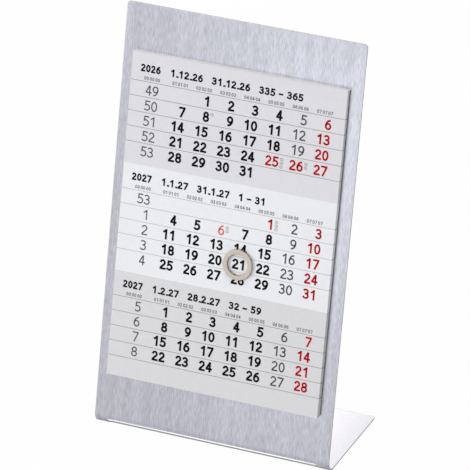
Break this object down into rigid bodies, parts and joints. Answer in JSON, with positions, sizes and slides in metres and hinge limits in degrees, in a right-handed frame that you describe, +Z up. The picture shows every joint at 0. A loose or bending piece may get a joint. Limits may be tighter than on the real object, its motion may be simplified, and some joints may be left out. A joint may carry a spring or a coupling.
{
  "type": "desk calendar",
  "caption": "Desk calendar: a pad of leaves on a board, taped to a leaning stand folded from one steel sheet, with a ring magnet that marks the day.",
  "frame": {"origin": "middle of the stand's footprint, on the surface that it stands on", "axes": "+Z up, the pad and panel face -Y and lean back, +X to the right of someone who reads the calendar"},
  "size_m": [0.11, 0.053, 0.1863],
  "materials": {
    "brushed_steel": "brushed along its height",
    "tape": "matte",
    "board": "matte",
    "paper": "matte, printed",
    "glue": "satin",
    "marker": "satin"
  },
  "bodies": {
    "root": {"stand": "brushed_steel", "adhesive_tape_upper": "tape", "adhesive_tape_lower": "tape", "backing_board": "board", "leaf_block": "paper", "head_binding": "glue", "date_marker": "marker"}
  },
  "joints": []
}
